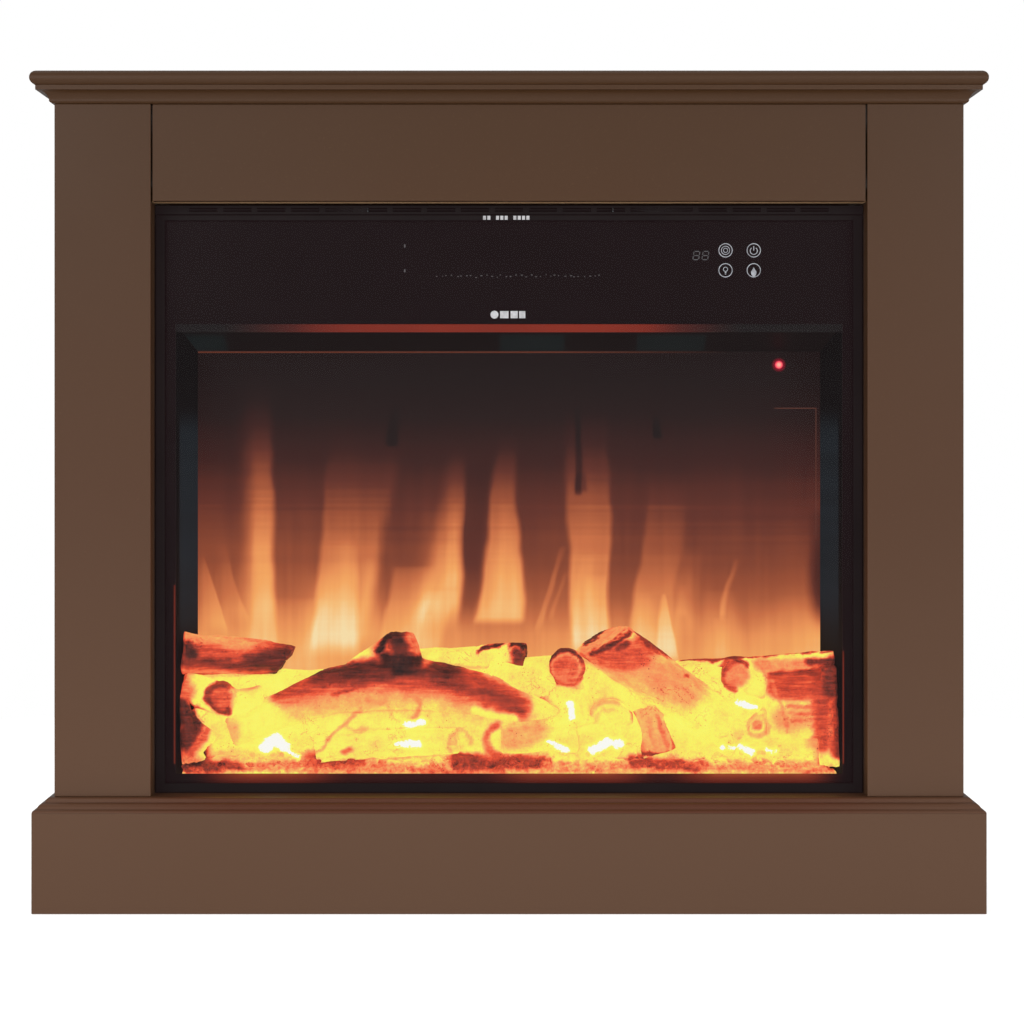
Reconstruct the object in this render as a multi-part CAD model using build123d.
from build123d import *
import math
import os

# Electric fireplace suite: a painted board surround standing on a plinth, with an electric fire
# (steel case, glass front, lit log set, flame screen, flicker spindle and fan heater) slid into
# its opening. Millimetres. +Z is up, the front faces -Y and +X is the viewer's right. The origin
# is on the floor under the middle of the suite.

# ---------------------------------------------------------------- driving dimensions
SHELF_W, SHELF_D, SUITE_H = 1000.0, 280.0, 880.0
BOARD = 15.0  # thickness of every surround board
EASE = 0.8  # small rounding of painted edges
Y_FRONT, Y_BACK = -SHELF_D / 2, SHELF_D / 2

SHELF_Z = SUITE_H - BOARD  # underside of the shelf
SHELF_ROUND = 7.2  # bullnose radius, almost half the board

COLUMN_HALF = 477.0  # centre line to a column's outer face
COLUMN_W = 101.0
COLUMN_Y = Y_FRONT + 23.0  # front face of the columns
CORNICE_H = 18.0
COLUMN_TOP = SHELF_Z - CORNICE_H
OPENING_HALF = COLUMN_HALF - COLUMN_W  # half width of the fire opening

PLINTH_HALF, PLINTH_Y, PLINTH_H = 498.0, Y_FRONT + 2.0, 105.0
HEARTH_Z = PLINTH_H + BOARD  # top of the hearth
HEARTH_STRIP = 60.0  # width of the moulded strip round the hearth board

HEADER_Z, HEADER_GAP, HEADER_SET_BACK = 745.0, 1.5, 2.0
CORNICE_INNER = 20.0  # how far the cornice reaches in behind the column faces

# fire insert
FRAME_HALF, FRAME_TOP = OPENING_HALF - 1.0, 733.0
FRAME_Y, FRAME_BACK = -84.0, -76.0
FRAME_SIDE, FRAME_RAIL = 10.0, 6.0  # visible width of the frame's sides and bottom, and its top rail
GLASS_Y, GLASS_BACK = -80.0, -76.3
GLASS_HALF, GLASS_LOW, GLASS_HIGH = FRAME_HALF - 7.5, HEARTH_Z + 7.5, FRAME_TOP - 3.5
MASK_Y, MASK_BACK = GLASS_BACK, FRAME_BACK
WINDOW_HALF, WINDOW_LOW, WINDOW_HIGH = 354.0, 139.5, 617.0

SHEET = 1.0  # steel sheet of the case
CASE_HALF, CASE_Y, CASE_BACK, CASE_TOP = 362.0, FRAME_BACK + SHEET, 117.0, 742.0
OUTLET_LOW, OUTLET_HIGH = FRAME_TOP + 0.5, CASE_TOP + 0.5  # louvred strip over the frame
CASE_FLOOR = HEARTH_Z + SHEET
REAR_FLANGE = 12.0

# firebox behind the glass
LINING = 1.2
SCREEN_Y, SCREEN_T, SCREEN_TOP = 7.5, 3.0, 600.0
FIREBOX_FRONT, FIREBOX_REAR_HALF, FIREBOX_REAR_TOP = -74.5, 339.0, 590.0
LIP_DROP = 8.5
EMBER_TOP_FRONT, EMBER_TOP_REAR = 146.0, 178.0

# light engine
STENCIL_Y, STENCIL_TOP = 30.0, 420.0
SPINDLE_Y, SPINDLE_Z, ROD_R = 70.0, 165.0, 2.0
FLAGS, FLAG_REACH, FLAG_W = 14, 21.0, 26.0
RUNNING = 0.05  # radial running clearance of a shaft in its bearing
SPINDLE_MOTOR_X = 325.0
SPINDLE_BUSH_X = -345.0

# fan heater
WHEEL_Y, WHEEL_Z, WHEEL_R, SHAFT_R = 60.0, 702.0, 28.0, 3.0
HOUSING_LEFT, HOUSING_RIGHT, HOUSING_T = -150.0, 110.0, 1.2
BLADES = 24

# controls
SWITCH_X, SWITCH_Z, ROCKER_R, ROCKER_W = 300.0, 185.0, 8.0, 12.0
COVER_BACK = CASE_BACK + SHEET
GLAND_X, GLAND_Z, GLAND_BORE = 250.0, 160.0, 4.25
KEY_COLUMNS, KEY_ROWS = (230.0, 260.0), (674.0, 695.5)
DISPLAY_X, DISPLAY_Z = 204.0, 690.0

parts = {}


# ---------------------------------------------------------------- helpers
def block(x0, x1, y0, y1, z0, z1):
    """A box between two corners."""
    middle = Pos((x0 + x1) / 2, (y0 + y1) / 2, (z0 + z1) / 2)
    return middle * Box(abs(x1 - x0), abs(y1 - y0), abs(z1 - z0))


def eased(solid, radius=EASE):
    """A board with every edge slightly rounded, as painted boards are."""
    return fillet(solid.edges(), radius)


def mirrored(solid):
    return mirror(solid, Plane.YZ)


def add_pair(stem, right_solid):
    """Stores a right-hand piece and its mirror image."""
    parts[stem + "_right"] = right_solid
    parts[stem + "_left"] = mirrored(right_solid)


def rod_x(x0, x1, y, z, radius):
    """A cylinder along X."""
    return Pos((x0 + x1) / 2, y, z) * Rot(0, 90, 0) * Cylinder(radius, x1 - x0)


def rod_y(x, y0, y1, z, radius):
    """A cylinder along Y."""
    return Pos(x, (y0 + y1) / 2, z) * Rot(90, 0, 0) * Cylinder(radius, y1 - y0)


def rod_z(x, y, z0, z1, radius):
    """A cylinder along Z."""
    return Pos(x, y, (z0 + z1) / 2) * Cylinder(radius, z1 - z0)


def prism_x(points, x0, x1):
    """A closed outline of (y, z) points pushed along X."""
    face = make_face(Polyline(*[(x0, y, z) for y, z in points], close=True))
    return extrude(face, amount=x1 - x0, dir=(1, 0, 0))


def prism_z(points, z0, z1):
    """A closed outline of (x, y) points pushed along Z."""
    face = make_face(Polyline(*[(x, y, z0) for x, y in points], close=True))
    return extrude(face, amount=z1 - z0, dir=(0, 0, 1))


def log_between(start, end, start_radius, end_radius):
    """A tapered round log from one point to another."""
    axis = Vector(*end) - Vector(*start)
    plane = Plane(origin=start, z_dir=axis)
    align = (Align.CENTER, Align.CENTER, Align.MIN)
    if start_radius == end_radius:
        return plane * Cylinder(start_radius, axis.length, align=align)
    return plane * Cone(start_radius, end_radius, axis.length, align=align)


def knuckle(centre, radius):
    """A round swelling where two stretches of a log meet."""
    return Pos(*centre) * Sphere(radius)


# ---------------------------------------------------------------- mouldings round three sides
def moulding_outline(curve_points):
    """A closed face in the (outward, up) plane from straight and arc stretches."""
    edges = []
    for stretch in curve_points:
        if len(stretch) == 2:
            edges.append(Line(*stretch))
        else:
            edges.append(ThreePointArc(*stretch))
    return make_face(Curve() + edges)


def wrap_three_sides(outline, half, front, z, inner, outer):
    """Front, right and left runs of one moulding, mitred at the front corners.

    outline is drawn with x outward from the (half, front) faces and y up from z. inner and outer
    are how far the outline reaches behind and in front of those faces."""
    reach = half + outer
    front_plane = Plane(origin=(-reach, front, z), x_dir=(0, -1, 0), z_dir=(-1, 0, 0))
    front_run = extrude(front_plane * outline, amount=2 * reach, dir=(1, 0, 0))
    low, high = z - 1, z + 60
    mitre_front = prism_z(
        [
            (-half + inner, front + inner),
            (half - inner, front + inner),
            (half + outer, front - outer),
            (-half - outer, front - outer),
        ],
        low,
        high,
    )
    side_plane = Plane(origin=(half, front - outer, z), x_dir=(1, 0, 0), z_dir=(0, -1, 0))
    side_run = extrude(side_plane * outline, amount=Y_BACK - front + outer, dir=(0, 1, 0))
    mitre_side = prism_z(
        [
            (half - inner, front + inner),
            (half + outer, front - outer),
            (half + outer, Y_BACK),
            (half - inner, Y_BACK),
        ],
        low,
        high,
    )
    right = side_run & mitre_side
    return front_run & mitre_front, right, mirrored(right)


# ---------------------------------------------------------------- surround
def mantel_shelf():
    """Shelf board with a bullnose on its front and both ends, square at the wall."""
    board = block(-SHELF_W / 2, SHELF_W / 2, Y_FRONT, Y_BACK, SHELF_Z, SUITE_H)
    rounded = board.edges().filter_by(Axis.X).group_by(Axis.Y)[0]
    rounded += board.edges().filter_by(Axis.Y)
    return fillet(rounded, SHELF_ROUND)


def cornice():
    """Cove moulding that carries the shelf's overhang: bead, fillet, cove and top fillet."""
    back, top = -CORNICE_INNER, CORNICE_H
    outline = moulding_outline(
        [
            ((back, 0), (1.0, 0)),
            ((1.0, 0), (3.3, 0.8), (5.0, 2.6)),
            ((5.0, 2.6), (5.0, 4.0)),
            ((5.0, 4.0), (8.6, 10.4), (16.0, 13.2)),
            ((16.0, 13.2), (17.5, 13.2)),
            ((17.5, 13.2), (17.5, top)),
            ((17.5, top), (back, top)),
            ((back, top), (back, 0)),
        ]
    )
    return wrap_three_sides(outline, COLUMN_HALF, COLUMN_Y, COLUMN_TOP, CORNICE_INNER, 20.0)


def hearth_moulding():
    """Stepped ovolo strip that brings the plinth in to the hearth board."""
    back, top = -HEARTH_STRIP, BOARD
    outline = moulding_outline(
        [
            ((back, 0), (0.0, 0)),
            ((0.0, 0), (-1.4, 2.4), (-4.6, 3.5)),
            ((-4.6, 3.5), (-5.8, 6.1)),
            ((-5.8, 6.1), (-8.6, 9.0), (-12.4, 9.9)),
            ((-12.4, 9.9), (-13.8, 13.2)),
            ((-13.8, 13.2), (-15.4, 14.45), (-17.4, top)),
            ((-17.4, top), (back, top)),
            ((back, top), (back, 0)),
        ]
    )
    return wrap_three_sides(outline, PLINTH_HALF, PLINTH_Y, PLINTH_H, HEARTH_STRIP, 0.0)


def surround_screw_places():
    """Each screw as (axis, head point, direction, length), heads on the hidden faces."""
    places = []
    for side in (-1, 1):
        for z in (802.0, 832.0):
            places.append(("x", (side * (OPENING_HALF + BOARD), 132.5, z), -side, 40.0))
        places.append(("x", (side * 460.0, 120.0, 805.0), side, 12.0))
        for y in (-40.0, 80.0):
            places.append(("z", (side * (OPENING_HALF + BOARD / 2), y, PLINTH_H), 1, 45.0))
    return places


def screw_shape(place, grow=0.0):
    """One countersunk-style screw, or with grow the hole that clears it."""
    axis, (x, y, z), way, length = place
    head, shank, head_len = 4.0 + grow, 2.0 + grow, 3.0
    if axis == "x":
        ends = sorted((x, x + way * head_len)), sorted((x, x + way * length))
        return rod_x(*ends[0], y, z, head) + rod_x(*ends[1], y, z, shank)
    return rod_z(x, y, z, z + head_len, head) + rod_z(x, y, z, z + length, shank)


def drilled(board, places, grow=0.1):
    for place in places:
        board -= screw_shape(place, grow)
    return board


def wall_bracket():
    """Right-hand steel angle that fixes the surround to the wall."""
    inner_face = COLUMN_HALF - BOARD
    leg_on_board = block(inner_face - 2, inner_face, 106, Y_BACK, 790, 820)
    leg_on_wall = block(inner_face - 32, inner_face, Y_BACK - 2, Y_BACK, 790, 820)
    angle = leg_on_board + leg_on_wall
    angle -= rod_y(445, Y_BACK - 10, Y_BACK + 10, 805, 2.75)
    return angle


def build_surround():
    screws = surround_screw_places()
    parts["mantel_shelf"] = mantel_shelf()
    runs = zip(("front", "right", "left"), cornice())
    for name, run in runs:
        parts["cornice_" + name] = run
    runs = zip(("front", "right", "left"), hearth_moulding())
    for name, run in runs:
        parts["hearth_moulding_" + name] = drilled(run, screws)

    header_y = COLUMN_Y + HEADER_SET_BACK
    header_half = OPENING_HALF - HEADER_GAP
    header = block(-header_half, header_half, header_y, header_y + BOARD, HEADER_Z, COLUMN_TOP)
    parts["header_panel"] = eased(header)
    lintel = block(-OPENING_HALF, OPENING_HALF, header_y + BOARD, 60, HEADER_Z, HEADER_Z + BOARD)
    parts["lintel_board"] = lintel

    column = block(OPENING_HALF, COLUMN_HALF, COLUMN_Y, COLUMN_Y + BOARD, HEARTH_Z, COLUMN_TOP)
    add_pair("column_front", eased(column))
    rear_y = COLUMN_Y + BOARD
    side = block(COLUMN_HALF - BOARD, COLUMN_HALF, rear_y, Y_BACK, HEARTH_Z, COLUMN_TOP)
    add_pair("side_panel", drilled(side, screws))
    inner = block(OPENING_HALF, OPENING_HALF + BOARD, rear_y, Y_BACK, HEARTH_Z, COLUMN_TOP)
    add_pair("inner_return", drilled(inner, screws))

    stretcher = block(-OPENING_HALF, OPENING_HALF, Y_BACK - BOARD, Y_BACK, 787, COLUMN_TOP)
    parts["rear_stretcher"] = drilled(stretcher, screws)
    board_half = PLINTH_HALF - HEARTH_STRIP
    board_y = PLINTH_Y + HEARTH_STRIP
    hearth = block(-board_half, board_half, board_y, Y_BACK, PLINTH_H, HEARTH_Z)
    parts["hearth_board"] = drilled(hearth, screws)

    front = block(-PLINTH_HALF, PLINTH_HALF, PLINTH_Y, PLINTH_Y + BOARD, 0, PLINTH_H)
    parts["plinth_front"] = eased(front)
    plinth_side = block(PLINTH_HALF - BOARD, PLINTH_HALF, PLINTH_Y + BOARD, Y_BACK, 0, PLINTH_H)
    add_pair("plinth_side", plinth_side)

    bracket = drilled(wall_bracket(), screws)
    parts["wall_brackets"] = Compound([bracket, mirrored(bracket)])
    parts["surround_screws"] = Compound([screw_shape(place) for place in screws])


# ---------------------------------------------------------------- insert body
def cover_screw_places():
    """(x, z) of the screws round the rear cover."""
    x, low, high = CASE_HALF - 7, CASE_FLOOR + 6, CASE_TOP - 7
    places = [(side * x, low + (high - low) * i / 3) for side in (-1, 1) for i in range(4)]
    return places + [(side * 120.0, z) for side in (-1, 1) for z in (low, high)]


def insert_case():
    """Folded steel wrap with a flange at the front for the frame and one behind for the cover."""
    wrap = block(-CASE_HALF, CASE_HALF, CASE_Y, CASE_BACK, HEARTH_Z, CASE_TOP)
    inside = CASE_HALF - SHEET
    wrap -= block(-inside, inside, CASE_Y - 1, CASE_BACK + 1, CASE_FLOOR, CASE_TOP - SHEET)
    flange_half = FRAME_HALF - 1
    flange = block(-flange_half, flange_half, CASE_Y - SHEET, CASE_Y, HEARTH_Z, CASE_TOP)
    opening = CASE_HALF - 8
    flange -= block(-opening, opening, CASE_Y - 2, CASE_Y + 1, WINDOW_LOW, FRAME_TOP - 11)
    flange -= block(-opening, opening, CASE_Y - 2, CASE_Y + 1, OUTLET_LOW + 1, CASE_TOP - SHEET)
    rear_y = CASE_BACK - SHEET
    rear = block(-inside, inside, rear_y, CASE_BACK, CASE_FLOOR, CASE_TOP - SHEET)
    hole = inside - REAR_FLANGE
    low, high = CASE_FLOOR + REAR_FLANGE, CASE_TOP - SHEET - REAR_FLANGE
    rear -= block(-hole, hole, rear_y - 1, CASE_BACK + 1, low, high)
    case = wrap + flange + rear
    for x, z in cover_screw_places():
        case -= rod_y(x, rear_y - 1, CASE_BACK + 1, z, 1.9)
    return case


def rear_cover():
    """Flat steel back with cooling slots, screw holes and the switch and cord openings."""
    cover = block(-CASE_HALF, CASE_HALF, CASE_BACK, COVER_BACK, HEARTH_Z, CASE_TOP)
    slot = extrude(Rot(90, 0, 0) * SlotOverall(44, 5), amount=8, both=True)
    cuts = []
    for column in range(7):
        for row in range(6):
            cuts.append(Pos(-168 + 56 * column, CASE_BACK, 640 + 14 * row) * slot)
    for column in range(9):
        for row in range(3):
            cuts.append(Pos(-224 + 56 * column, CASE_BACK, 230 + 14 * row) * slot)
    for x, z in cover_screw_places():
        cuts.append(rod_y(x, CASE_BACK - 5, CASE_BACK + 5, z, 1.9))
    cuts.append(rod_y(GLAND_X, CASE_BACK - 5, CASE_BACK + 5, GLAND_Z, 8.0))
    switch_hole = block(
        SWITCH_X - 10, SWITCH_X + 10, CASE_BACK - 5, CASE_BACK + 5, SWITCH_Z - 12, SWITCH_Z + 12
    )
    return cover - cuts - switch_hole


def front_frame():
    """Slim black frame with a rebate behind its lip for the glass."""
    frame = block(-FRAME_HALF, FRAME_HALF, FRAME_Y, FRAME_BACK, HEARTH_Z, FRAME_TOP)
    frame = fillet(frame.faces().sort_by(Axis.Y)[0].edges(), 1.5)
    half, low, high = FRAME_HALF - FRAME_SIDE, HEARTH_Z + FRAME_SIDE, FRAME_TOP - FRAME_RAIL
    frame -= block(-half, half, FRAME_Y - 1, FRAME_BACK + 1, low, high)
    rebate = 3.0
    frame -= block(
        -half - rebate, half + rebate, GLASS_Y, FRAME_BACK + 1, low - rebate, high + rebate
    )
    return frame


def outlet_grille():
    """Shallow slotted channel over the frame, where the warm air leaves."""
    front, wall = FRAME_Y + 0.5, 1.0
    grille = block(-FRAME_HALF, FRAME_HALF, front, FRAME_BACK, OUTLET_LOW, OUTLET_HIGH)
    inside = FRAME_HALF - wall
    low, high = OUTLET_LOW + wall, OUTLET_HIGH - wall
    grille -= block(-inside, inside, front + wall, FRAME_BACK + 1, low, high)
    pitch, half_length, half_height = 36.0, 15.0, 0.8
    slots = []
    for i in range(-9, 10):
        x0, x1 = i * pitch - half_length, i * pitch + half_length
        for z in (low + 2.2, high - 2.2):
            slots.append(block(x0, x1, front - 1, front + 2, z - half_height, z + half_height))
    return grille - slots


def build_insert_body():
    parts["insert_case"] = insert_case()
    parts["rear_cover"] = rear_cover()
    parts["case_screws"] = Compound(
        [
            rod_y(x, COVER_BACK, COVER_BACK + 2.4, z, 3.5) + rod_y(x, 109, COVER_BACK, z, 1.75)
            for x, z in cover_screw_places()
        ]
    )
    parts["front_frame"] = front_frame()
    parts["front_glass"] = block(
        -GLASS_HALF, GLASS_HALF, GLASS_Y, GLASS_BACK, GLASS_LOW, GLASS_HIGH
    )
    mask = block(-GLASS_HALF, GLASS_HALF, MASK_Y, MASK_BACK, GLASS_LOW, GLASS_HIGH)
    mask -= block(-WINDOW_HALF, WINDOW_HALF, MASK_Y - 1, MASK_BACK + 1, WINDOW_LOW, WINDOW_HIGH)
    parts["glass_mask"] = mask
    parts["outlet_grille"] = outlet_grille()


# ---------------------------------------------------------------- firebox
def ceiling_z(y):
    """Height of the sloping ceiling's underside at a depth."""
    share = (y - FIREBOX_FRONT) / (SCREEN_Y - FIREBOX_FRONT)
    return WINDOW_HIGH + (FIREBOX_REAR_TOP - WINDOW_HIGH) * share


def side_lining():
    """Right-hand wall of the firebox, splayed in towards the screen."""
    rear_y = SCREEN_Y - 0.2
    wall = prism_z(
        [
            (WINDOW_HALF, FIREBOX_FRONT),
            (WINDOW_HALF + LINING, FIREBOX_FRONT),
            (FIREBOX_REAR_HALF + LINING, rear_y),
            (FIREBOX_REAR_HALF, rear_y),
        ],
        CASE_FLOOR,
        WINDOW_HIGH,
    )
    above = prism_x(
        [
            (FIREBOX_FRONT - 1, ceiling_z(FIREBOX_FRONT - 1)),
            (SCREEN_Y, ceiling_z(SCREEN_Y)),
            (SCREEN_Y, WINDOW_HIGH + 20),
            (FIREBOX_FRONT - 1, WINDOW_HIGH + 20),
        ],
        200,
        400,
    )
    return wall - above


def ceiling_baffle():
    """Sloping ceiling sheet whose front edge is folded down into a lip."""
    rear_y = SCREEN_Y - 0.2
    half = WINDOW_HALF - 0.2
    sheet = prism_x(
        [
            (FIREBOX_FRONT, ceiling_z(FIREBOX_FRONT)),
            (rear_y, ceiling_z(rear_y)),
            (rear_y, ceiling_z(rear_y) + LINING),
            (FIREBOX_FRONT - LINING, ceiling_z(FIREBOX_FRONT - LINING) + LINING),
            (FIREBOX_FRONT - LINING, ceiling_z(FIREBOX_FRONT)),
        ],
        -half,
        half,
    )
    lip_low = WINDOW_HIGH - LIP_DROP
    lip = block(-half, half, FIREBOX_FRONT - LINING, FIREBOX_FRONT, lip_low, WINDOW_HIGH + 0.2)
    return sheet + lip


def ember_bed():
    """Moulded bed of embers on skirts, hollow underneath for the lamp strip."""
    front, rear, gap = FIREBOX_FRONT + 1, SCREEN_Y - 2, 1.0
    plan = prism_z(
        [
            (-WINDOW_HALF + gap, front),
            (WINDOW_HALF - gap, front),
            (FIREBOX_REAR_HALF - gap, rear),
            (-FIREBOX_REAR_HALF + gap, rear),
        ],
        CASE_FLOOR,
        EMBER_TOP_REAR + 1,
    )
    section = prism_x(
        [
            (front, CASE_FLOOR),
            (front, EMBER_TOP_FRONT),
            (front + 30, EMBER_TOP_FRONT + 10),
            (rear, EMBER_TOP_REAR),
            (rear, CASE_FLOOR),
        ],
        -WINDOW_HALF,
        WINDOW_HALF,
    )
    hollow = block(-325, 325, front + 8, rear - 8, CASE_FLOOR - 1, CASE_FLOOR + 16)
    return (plan & section) - hollow


def build_firebox():
    add_pair("side_lining", side_lining())
    parts["ceiling_baffle"] = ceiling_baffle()
    screen_half = FIREBOX_REAR_HALF + 6
    parts["flame_screen"] = block(
        -screen_half, screen_half, SCREEN_Y, SCREEN_Y + SCREEN_T, CASE_FLOOR, SCREEN_TOP
    )
    parts["ember_bed"] = ember_bed()

    # Logs overlap like a stacked fire, so each is cut where an earlier one already lies.
    stack = {
        "log_arch": [
            log_between((-298, -42, 182), (-190, -36, 226), 17, 24),
            knuckle((-190, -36, 226), 24.6),
            log_between((-190, -36, 226), (-112, -34, 230), 24, 27),
            knuckle((-112, -34, 230), 28.8),
            log_between((-112, -34, 230), (48, -38, 188), 28, 19),
            log_between((-117, -32, 240), (-117, -34, 288), 22, 19),
        ],
        "log_rear_right": [
            log_between((184, -16, 244), (336, -20, 251), 14, 13),
            log_between((246, -10, 236), (244, -52, 242), 17, 16),
            log_between((272, -32, 202), (337, -32, 205), 35, 36),
        ],
        "log_right_peak": [log_between((108, -32, 266), (242, -44, 178), 28, 22)],
        "log_front_left": [
            log_between((-306, -12, 224), (-306, -58, 220), 17, 15),
            log_between((-336, -46, 184), (-300, -30, 220), 14, 17),
        ],
        "log_rear_left": [log_between((-338, -44, 262), (-244, -22, 249), 19, 14)],
        "log_front_centre": [log_between((-196, -52, 170), (-54, -56, 174), 15, 13)],
        "log_centre_branch": [
            log_between((-140, -14, 250), (-30, -14, 262), 15, 13),
            log_between((-30, -14, 262), (22, -22, 258), 13, 15),
        ],
        "log_centre_stub": [
            log_between((61, -4, 250), (61, -54, 251), 17, 20),
            log_between((61, -30, 244), (78, -42, 178), 17, 24),
            log_between((-4, -52, 178), (70, -50, 184), 14, 18),
        ],
        "log_front_right": [
            log_between((108, -20, 196), (108, -56, 192), 24, 27),
            log_between((148, -52, 208), (164, -53, 158), 18, 18),
        ],
    }
    placed = [parts["ember_bed"]]
    for name, pieces in stack.items():
        log = pieces[0]
        for piece in pieces[1:]:
            log += piece
        for earlier in placed:
            log -= earlier
        placed.append(log)
        parts[name] = max(log.solids(), key=lambda solid: solid.volume)


# ---------------------------------------------------------------- light engine
def lamp_strip(y, count):
    """Printed board on the case floor with a row of light-emitting diodes."""
    half = 320.0
    strip = block(-half, half, y - 6, y + 6, CASE_FLOOR, CASE_FLOOR + 1.6)
    pitch = 2 * (half - 15) / (count - 1)
    for i in range(count):
        x = -half + 15 + i * pitch
        strip += block(x - 2.5, x + 2.5, y - 2.5, y + 2.5, CASE_FLOOR + 1.6, CASE_FLOOR + 3.2)
    return strip


def flame_stencil():
    """Upright plate with flame-shaped openings that throw the flame picture on the screen."""
    half = 335.0
    plate = block(-half, half, STENCIL_Y, STENCIL_Y + 0.8, CASE_FLOOR, STENCIL_TOP)
    cuts = []
    for i in range(12):
        base = -302 + i * 55.0
        height = 120 + 70 * math.sin(1.9 * i + 0.6) ** 2
        lean = 10 * math.sin(2.3 * i)
        low = CASE_FLOOR + 55
        left = Spline(
            (base - 16, low), (base - 20 + lean / 2, low + height * 0.4), (base + lean, low + height)
        )
        right = Spline(
            (base + lean, low + height), (base + 20 + lean / 2, low + height * 0.4), (base + 16, low)
        )
        flame = make_face(Curve() + [left, right, Line((base + 16, low), (base - 16, low))])
        upright = Plane(origin=(0, STENCIL_Y - 1, 0), x_dir=(1, 0, 0), z_dir=(0, -1, 0))
        cuts.append(extrude(upright * flame, amount=-3))
    return plate - cuts


def flicker_flags():
    """Bright metal petals on hubs, each turned from the last, that stir the light."""
    flags = []
    span = 600.0
    for i in range(FLAGS):
        x = -span / 2 + span * i / (FLAGS - 1)
        hub = rod_x(x - 4, x + 4, 0, 0, 4.0)
        petal = Pos(x, 0, 0) * Box(FLAG_W, 2 * FLAG_REACH, 0.6)
        turned = Rot(180.0 * i * 3 / FLAGS, 0, 0) * (hub + petal)
        hole = rod_x(x - 20, x + 20, 0, 0, ROD_R + 0.02)
        flags.append(Pos(0, SPINDLE_Y, SPINDLE_Z) * (turned - hole))
    return Compound(flags)


def spindle_motor():
    """Small geared synchronous motor on its foot, with a blind bore for the rod."""
    motor = rod_x(SPINDLE_MOTOR_X, SPINDLE_MOTOR_X + 16, SPINDLE_Y, SPINDLE_Z, 24)
    motor += block(
        SPINDLE_MOTOR_X + 16, SPINDLE_MOTOR_X + 18, SPINDLE_Y - 27, SPINDLE_Y + 27, CASE_FLOOR, 190
    )
    motor += block(
        SPINDLE_MOTOR_X + 4, SPINDLE_MOTOR_X + 18, SPINDLE_Y - 27, SPINDLE_Y + 27, CASE_FLOOR, 123
    )
    bore = rod_x(SPINDLE_MOTOR_X - 1, SPINDLE_MOTOR_X + 10, SPINDLE_Y, SPINDLE_Z, ROD_R + RUNNING)
    return motor - bore


def spindle_bush():
    """Nylon bearing post for the rod's far end."""
    post = block(
        SPINDLE_BUSH_X, SPINDLE_BUSH_X + 10, SPINDLE_Y - 8, SPINDLE_Y + 8, CASE_FLOOR, SPINDLE_Z
    )
    post += rod_x(SPINDLE_BUSH_X, SPINDLE_BUSH_X + 10, SPINDLE_Y, SPINDLE_Z, 8)
    post -= rod_x(
        SPINDLE_BUSH_X - 1, SPINDLE_BUSH_X + 11, SPINDLE_Y, SPINDLE_Z, ROD_R + RUNNING
    )
    return post


def build_light_engine():
    parts["ember_led_strip"] = lamp_strip(-35, 24)
    parts["flame_led_strip"] = lamp_strip(SPINDLE_Y, 18)
    parts["flame_stencil"] = flame_stencil()
    parts["flicker_rod"] = rod_x(
        SPINDLE_BUSH_X + 1, SPINDLE_MOTOR_X + 9, SPINDLE_Y, SPINDLE_Z, ROD_R
    )
    parts["flicker_flags"] = flicker_flags()
    parts["spindle_motor"] = spindle_motor()
    parts["spindle_bush"] = spindle_bush()


# ---------------------------------------------------------------- fan heater
def blower_wheel():
    """Cross-flow wheel: three discs, a ring of slanted blades and a shaft through it."""
    left, right = HOUSING_LEFT + 5, HOUSING_RIGHT - 5
    wheel = rod_x(HOUSING_LEFT - 6, HOUSING_RIGHT + 26, 0, 0, SHAFT_R)
    for x in (left, (left + right) / 2 - 1, right - 2):
        wheel += rod_x(x, x + 2, 0, 0, WHEEL_R)
    blade_middle = WHEEL_R - 4.2
    blade = Pos((left + right) / 2, 0, blade_middle) * Rot(38, 0, 0) * Box(right - left, 0.9, 8)
    wheel += [Rot(360 * i / BLADES, 0, 0) * blade for i in range(BLADES)]
    return Pos(0, WHEEL_Y, WHEEL_Z) * wheel


def blower_housing():
    """Sheet scroll and duct floor between two end plates that hang from the case's top."""
    gap = 6.0
    radius = WHEEL_R + gap
    lip = (-68.0, 729.0)
    low = (30.0, WHEEL_Z - radius)
    under = (WHEEL_Y, WHEEL_Z - radius)
    middle = (WHEEL_Y + radius * math.sin(math.pi / 4), WHEEL_Z - radius * math.cos(math.pi / 4))
    back = (WHEEL_Y + radius, WHEEL_Z)
    top = (WHEEL_Y + radius, 736.0)
    path = Curve() + [
        Line(lip, low),
        Line(low, under),
        ThreePointArc(under, middle, back),
        Line(back, top),
    ]
    wall = make_face(offset(path, amount=HOUSING_T / 2))
    side_plane = Plane(origin=(HOUSING_LEFT, 0, 0), x_dir=(0, 1, 0), z_dir=(1, 0, 0))
    length = HOUSING_RIGHT - HOUSING_LEFT
    housing = extrude(side_plane * wall, amount=length)
    outline = [lip, low, under, (back[0], under[1]), (back[0], 741.0), (lip[0], 741.0)]
    for x in (HOUSING_LEFT - HOUSING_T, HOUSING_RIGHT):
        plate = prism_x(outline, x, x + HOUSING_T)
        plate -= rod_x(x - 1, x + 3, WHEEL_Y, WHEEL_Z, 6.0)
        housing += plate
    collar_x = HOUSING_LEFT - HOUSING_T
    housing += rod_x(collar_x - 5, HOUSING_LEFT, WHEEL_Y, WHEEL_Z, 8.0)
    bore = rod_x(collar_x - 6, HOUSING_LEFT + 1, WHEEL_Y, WHEEL_Z, SHAFT_R + RUNNING)
    return housing - bore


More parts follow.
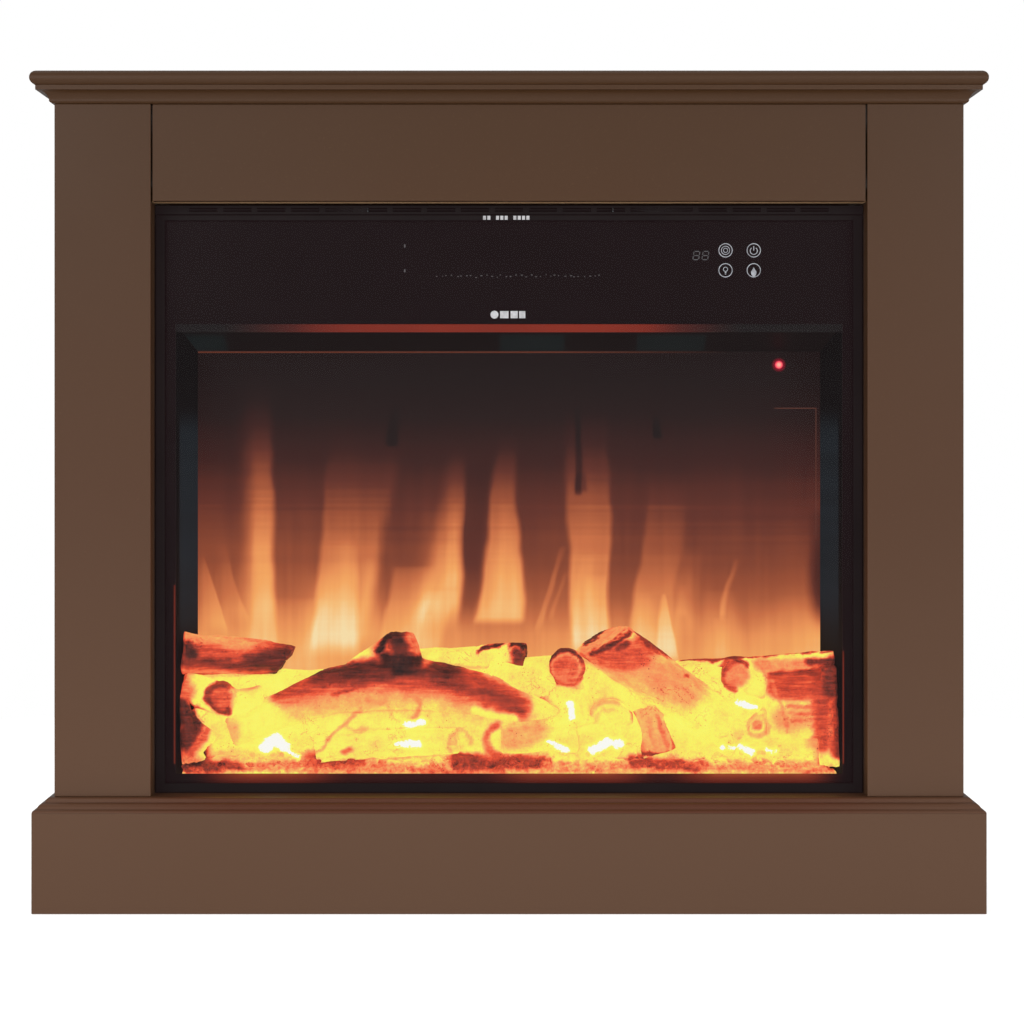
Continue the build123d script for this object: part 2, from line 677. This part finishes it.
def blower_motor():
    """Shaded-pole motor beside the housing, with a bore for the wheel's shaft."""
    x = HOUSING_RIGHT + HOUSING_T + 0.3
    motor = rod_x(x, x + 34, WHEEL_Y, WHEEL_Z, 21)
    motor += block(x + 8, x + 26, WHEEL_Y - 26, WHEEL_Y + 26, WHEEL_Z - 26, WHEEL_Z + 26)
    return motor - rod_x(x - 1, x + 28, WHEEL_Y, WHEEL_Z, SHAFT_R + RUNNING)


def heating_element():
    """Ceramic heater bar: three rails joined by rows of thin fins."""
    left, right, low, high = -140.0, 100.0, 706.0, 738.0
    face = Sketch()
    middle = (low + high) / 2
    for z in (low + 2, middle, high - 2):
        face += Pos((left + right) / 2, z) * Rectangle(right - left, 4)
    fins = 40
    for i in range(fins):
        x = left + 1 + (right - left - 2) * i / (fins - 1)
        face += Pos(x, middle) * Rectangle(1.2, high - low)
    upright = Plane(origin=(0, -7, 0), x_dir=(1, 0, 0), z_dir=(0, -1, 0))
    return extrude(upright * face, amount=18)


def build_heater():
    parts["blower_wheel"] = blower_wheel()
    parts["blower_housing"] = blower_housing()
    parts["blower_motor"] = blower_motor()
    parts["heating_element"] = heating_element()


# ---------------------------------------------------------------- controls
def control_board():
    """Power board on four spacers behind the fan, with relays, capacitors and a heat sink."""
    x0, x1, z0, z1, back = 190.0, 330.0, 630.0, 720.0, 106.0
    board = block(x0, x1, back - 1.6, back, z0, z1)
    for x in (x0 + 6, x1 - 6):
        for z in (z0 + 6, z1 - 6):
            board += rod_y(x, back, CASE_BACK - SHEET, z, 3)
    for i in range(3):
        board += block(x0 + 14 + 26 * i, x0 + 34 + 26 * i, back - 18, back - 1.6, z0 + 10, z0 + 26)
    for i in range(2):
        board += rod_y(x1 - 22, back - 26, back - 1.6, z0 + 22 + 26 * i, 8)
    for i in range(6):
        fin = z1 - 34 + 4.5 * i
        board += block(x0 + 16, x0 + 60, back - 22, back - 1.6, fin, fin + 2)
    board += block(x0 + 74, x0 + 92, back - 6, back - 1.6, z1 - 34, z1 - 16)
    return board


def touch_board():
    """Control board behind the mask: four ring light guides and a two-digit display."""
    front = MASK_BACK + 0.2
    board = block(190, 276, front + 3, front + 4.6, 662, 708)
    for x in KEY_COLUMNS:
        for z in KEY_ROWS:
            guide = rod_y(x, front, front + 3, z, 7.5) - rod_y(x, front - 1, front + 2, z, 6.2)
            board += guide
    board += block(DISPLAY_X - 10, DISPLAY_X + 10, front, front + 3, DISPLAY_Z - 7, DISPLAY_Z + 7)
    return board


def indicator_lamp():
    """Red heat indicator standing off the screen."""
    lens = rod_y(294, SCREEN_Y - 3, SCREEN_Y, 575.5, 4.2)
    return fillet(lens.edges().sort_by(Axis.Y)[0], 2.0)


def switch_body():
    """Housing of the mains rocker switch, pushed through the rear cover."""
    front, back = COVER_BACK - 22, COVER_BACK
    shell = block(SWITCH_X - 9.5, SWITCH_X + 9.5, front, back, SWITCH_Z - 11.5, SWITCH_Z + 11.5)
    rim = block(SWITCH_X - 12, SWITCH_X + 12, back, back + 2, SWITCH_Z - 14, SWITCH_Z + 14)
    shell += fillet(rim.edges().filter_by(Axis.Y), 2.0)
    wide = ROCKER_W / 2 + 0.3
    axis_y = COVER_BACK - 4
    clear = ROCKER_R + 0.4
    shell -= rod_x(SWITCH_X - wide, SWITCH_X + wide, axis_y, SWITCH_Z, clear)
    shell -= block(
        SWITCH_X - wide, SWITCH_X + wide, axis_y, back + 3, SWITCH_Z - clear, SWITCH_Z + clear
    )
    for side in (-1, 1):
        shell += rod_x(
            *sorted((SWITCH_X + side * wide, SWITCH_X + side * (wide - 2))), axis_y, SWITCH_Z, 1.5
        )
    return shell


def switch_rocker():
    """Rocker with two finger faces; its round belly turns about the pivot pins."""
    axis_y = COVER_BACK - 4
    left, right = SWITCH_X - ROCKER_W / 2, SWITCH_X + ROCKER_W / 2
    rocker = rod_x(left, right, axis_y, SWITCH_Z, ROCKER_R)
    reach, rise, slope = ROCKER_R + 2, 4.0, 1.9
    rocker -= prism_x(
        [
            (axis_y + rise, SWITCH_Z),
            (axis_y + rise + slope, SWITCH_Z + reach),
            (axis_y + 20, SWITCH_Z + reach),
            (axis_y + 20, SWITCH_Z - reach),
            (axis_y + rise + slope, SWITCH_Z - reach),
        ],
        left - 1,
        right + 1,
    )
    rocker -= rod_x(left - 1, right + 1, axis_y, SWITCH_Z, 1.5 + RUNNING)
    rest_tilt = Axis((SWITCH_X, axis_y, SWITCH_Z), (1, 0, 0))
    return rocker.rotate(rest_tilt, 10)


def cord_gland():
    """Strain-relief bush for the mains cord in the rear cover."""
    gland = rod_y(GLAND_X, CASE_BACK - 9, COVER_BACK, GLAND_Z, 7.8)
    collar = rod_y(GLAND_X, COVER_BACK, COVER_BACK + 5, GLAND_Z, 10.5)
    gland += fillet(collar.edges().sort_by(Axis.Y)[-1], 1.5)
    return gland - rod_y(GLAND_X, CASE_BACK - 12, COVER_BACK + 8, GLAND_Z, GLAND_BORE)


def build_controls():
    parts["control_board"] = control_board()
    parts["touch_board"] = touch_board()
    parts["indicator_lamp"] = indicator_lamp()
    parts["switch_body"] = switch_body()
    parts["switch_rocker"] = switch_rocker()
    parts["cord_gland"] = cord_gland()


build_surround()
build_insert_body()
build_firebox()
build_light_engine()
build_heater()
build_controls()

os.makedirs("parts", exist_ok=True)
for name, shape in parts.items():
    export_step(shape, f"parts/{name}.step")
print(len(parts), "nodes written")
